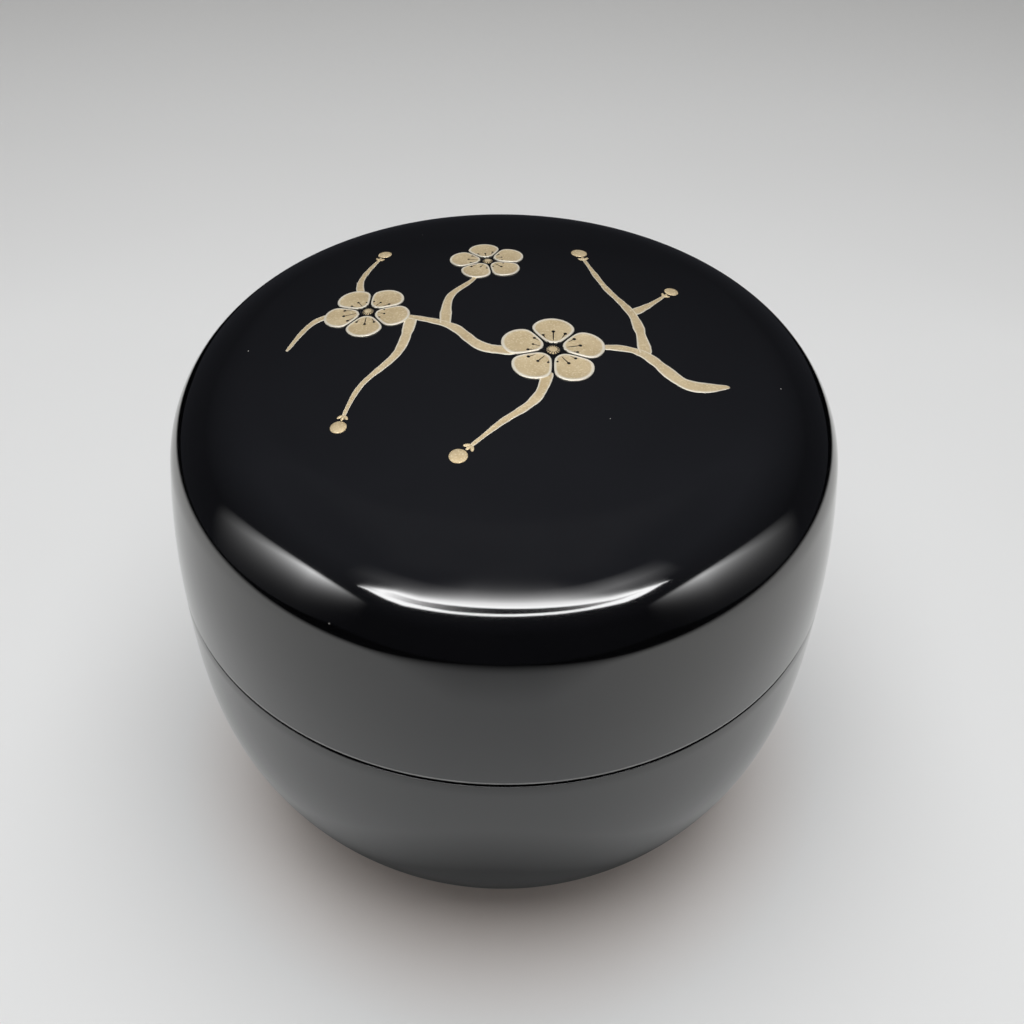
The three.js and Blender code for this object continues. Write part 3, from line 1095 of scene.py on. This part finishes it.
def floor_paint():
    """Pale floor: a painted warm shadow close to the foot, painted shade towards the back, and fading out far
    off.
    """
    pale, paler = (0.79, 0.795, 0.79, 1), (0.82, 0.825, 0.82, 1)
    painted_back_shade = (0.58, 0.58, 0.57, 1)
    painted_warm_shadow = (0.80, 0.69, 0.63, 1)
    material, nodes = material_nodes("pale_floor")
    place = nodes.object_place()
    x, y, _ = nodes.parts(place)
    distance = (x * x + y * y).root()
    colour = nodes.blend(nodes.noise(place, 60), pale, paler)
    # Painted shade: the floor darkens towards the back
    colour = nodes.blend(y.within(0.09, 0.34), colour, painted_back_shade)
    # Painted shadow: warmer and darker close to the foot
    colour = nodes.blend(distance.within(0.018, 0.041), painted_warm_shadow, colour)
    opacity = 1 - distance.within(FLOOR_FADE_START, FLOOR_FADE_END)
    return surfaced(material, nodes, {"Base Color": colour, "Roughness": 0.9, "Alpha": opacity})


def shining(colour):
    """Sockets of a surface that mirrors nothing and only gives light."""
    return {
        "Base Color": (0, 0, 0, 1),
        "Specular IOR Level": 0.0,
        "Emission Color": colour,
        "Emission Strength": 1.0,
    }


def backdrop_light():
    """An even pale grey behind the floor."""
    material, nodes = material_nodes("backdrop_light")
    return surfaced(material, nodes, shining(BACKDROP_SHADE))


def reflected_floor_paint():
    """The floor as the lacquer mirrors it: painted light to the sides, a painted shadow by the foot and black
    far off.
    """
    front_shade, side_shade = (0.76, 0.77, 0.77, 1), (0.99, 0.99, 0.97, 1)
    black = (0, 0, 0, 1)
    foot_share = 0.33
    foot_forward = 0.008
    material, nodes = material_nodes("reflected_pale_floor")
    x, y, _ = nodes.parts(nodes.object_place())
    aside, ahead = x.size(), y + foot_forward
    from_foot = (x * x * 2 + ahead * ahead).root()
    # Painted shadow: the mirrored floor darkens towards the foot
    painted_foot_shadow = foot_share + (1 - foot_share) * from_foot.within(0.028, 0.043)
    middle = 1 - aside.within(0.02, 0.08)
    # Painted shade: black far off; painted light: paler to the sides than in front
    far = (x * x * 0.77 + y * y).root().within(0.122 - 0.027 * middle, 0.14 + 0.025 * middle)
    to_side = aside.within(0.015, 0.09 + 0.04 * (x < 0))
    colour = nodes.blend(to_side, front_shade, side_shade)
    colour = nodes.blend(painted_foot_shadow * (1 - far), black, colour)
    return surfaced(material, nodes, {"Base Color": colour, "Specular IOR Level": 0.0})


def dim_cloth(bearing, height):
    """Strength of the tent's dim cloth: darker low down and darkest low in front."""
    lowest, climb_gain = 0.034, 0.10
    front_loss = 0.4
    aside = bearing.size()
    behind = aside.within(110, 150)
    low_front = (1 - aside.within(46, 62)) * (1 - height.within(20, 30))
    climb = height.within(8 + 8 * behind, 40 + 18 * behind)
    return (lowest + climb_gain * climb) * (1 - front_loss * low_front)


def front_lamp(bearing, height):
    """Strength of a long front lamp: a brink that fades upwards, a thin line under it, and a glow."""
    full, steady, brink_gain = 12.5, 8.5, 9
    end_height = 25.7
    brink_rise, brink_sag, brink_tilt = 5.3, 2.8, 0.04
    line_drop, line_sag, line_width = 1.1, 3.2, 1.9
    glow_height, glow_reach = 37, 9
    aside = bearing.size()
    to_right = bearing.within(0, 30)
    inward = 1 - aside.within(35, 49)

    # Heights of the line and the brink, which come together at the lamp's ends
    bend = aside * aside / 40**2
    line_foot = end_height - (line_drop + line_sag * bend.at_most(1)) * (1 - aside.within(33, 46))
    line_top = line_foot + (line_width + 0.1 * (aside - 20).at_least(0)) * inward
    rise = brink_rise - brink_sag * (bend * 1.78).at_most(1) - brink_tilt * bearing
    brink = end_height + rise * (1 - aside.within(38, 50))

    # Above the brink the light holds for a few degrees and then fades
    above = (height - brink).at_least(0)
    held = 4 * inward * (1 - 0.5 * aside.within(10, 35))
    fade = (4.3 - 3.6 * aside.within(15, 45) - 0.8 * to_right).at_least(0.5)
    lamp = steady * ((above - held).at_least(0) * -1 / fade).exponential()
    lamp = (lamp + brink_gain * (above * -0.7).exponential()) * (height > brink)

    line = full * (height > line_foot) * (height < line_top)
    gap = full * (aside / 41).at_most(1) ** 3 * (height > line_top) * (height < brink)
    glow = (0.6 + 0.9 * to_right) * (1 - (height - glow_height).size() / glow_reach).at_least(0)
    glow = glow * (1 - aside.within(36, 56))
    return ((lamp + gap) * inward.within(0, 0.5) + line + glow).at_most(full)


def side_lights(bearing, height):
    """Strength of a soft light on each side: it fades down and back, and is lower and weaker on the right."""
    strongest, right_loss = 15, 0.3
    swing = 2.5
    crest_bearing, crest_height = 62, 20.6
    crest_bend, crest_tilt = 0.012, 0.018
    aside = (bearing + swing).size()
    from_crest = aside - crest_bearing
    below = crest_height - crest_bend * from_crest * from_crest - crest_tilt * bearing - height
    fade = (5.2 + 0.1 * (aside - 55)).at_least(2)
    top_edge = fade * (0.45 + 0.5 * aside.within(62, 82))
    start_and_end = aside.within(40, 60) ** 1.7 * (1 - aside.within(55, 97)) ** 1.4
    strength = strongest * (1 - right_loss * (bearing > 0)) * start_and_end
    return strength * (below * -1 / fade).exponential() * below.within(0, top_edge)


def tent_light():
    """What the lacquer mirrors above the floor, by bearing and height in degrees as seen from the object."""
    dim_tint = (0.90, 0.94, 1.12)
    material, nodes = material_nodes("tent_light")
    x, y, z = nodes.parts(nodes.object_place())
    bearing = x.bearing(y * -1)
    height = z.bearing((x * x + y * y).root())
    dim = dim_cloth(bearing, height)
    lit = front_lamp(bearing, height) + side_lights(bearing, height)
    colour = nodes.point(*[lit + tint * dim for tint in dim_tint])
    return surfaced(material, nodes, shining(colour))


floor = stage_piece("floor", square("floor", FLOOR_REACH, -FLOOR_DROP), floor_paint())
floor.visible_glossy = False
backdrop = stage_piece("backdrop", ball("backdrop", BACKDROP_RADIUS), backdrop_light())
backdrop.visible_diffuse = False
backdrop.visible_glossy = False

# A floor seen only in reflections, with painted shadow and painted light on it
reflected_floor = stage_piece(
    "reflected_floor", square("reflected_floor", REFLECTED_FLOOR_REACH, 0), reflected_floor_paint()
)
tent = stage_piece("tent", ball("tent", TENT_RADIUS), tent_light())
tent.location = TENT_MIDDLE
tent.rotation_euler = (0, 0, TENT_TURN)
for piece in (reflected_floor, tent):
    piece.visible_camera = False
    piece.visible_diffuse = False

overhead_light = bpy.data.lights.new("overhead", "AREA")
overhead_light.size = OVERHEAD_SIZE
overhead_light.energy = OVERHEAD_POWER
overhead_light.color = OVERHEAD_COLOUR
overhead = shown(bpy.data.objects.new("overhead", overhead_light))
overhead.location = OVERHEAD_PLACE
overhead.visible_camera = False

world = bpy.data.worlds.new("fill_light")
world.use_nodes = True
fill = world.node_tree.nodes["Background"]
fill.inputs["Color"].default_value = FILL_COLOUR
fill.inputs["Strength"].default_value = FILL_LIGHT
bpy.context.scene.world = world
bpy.context.scene.view_settings.view_transform = "Standard"


# Camera, at the photograph's viewing angle, with its lengths in millimetres

CAMERA_TARGET = (0.89, 0, 38.85)
CAMERA_DISTANCE = 139.58
CAMERA_PITCH = math.radians(42.607)
CAMERA_ROLL = math.radians(1.232)
CAMERA_LENS = 44.536
CAMERA_SENSOR = 36
CAMERA_NEAR = 5
CAMERA_FAR = 50000

backward = Vector((0, -math.cos(CAMERA_PITCH), math.sin(CAMERA_PITCH)))
across = Vector((1, 0, 0))
upward = backward.cross(across)
camera_data = bpy.data.cameras.new("camera")
camera_data.lens = CAMERA_LENS
camera_data.sensor_width = CAMERA_SENSOR
camera_data.clip_start = CAMERA_NEAR * MM
camera_data.clip_end = CAMERA_FAR * MM
camera = shown(bpy.data.objects.new("camera", camera_data))
camera_turn = Matrix((
    across * math.cos(CAMERA_ROLL) + upward * math.sin(CAMERA_ROLL),
    upward * math.cos(CAMERA_ROLL) - across * math.sin(CAMERA_ROLL),
    backward,
)).transposed()
camera_place = (Vector(CAMERA_TARGET) + backward * CAMERA_DISTANCE) * MM
camera.matrix_world = Matrix.Translation(camera_place) @ camera_turn.to_4x4()
bpy.context.scene.camera = camera
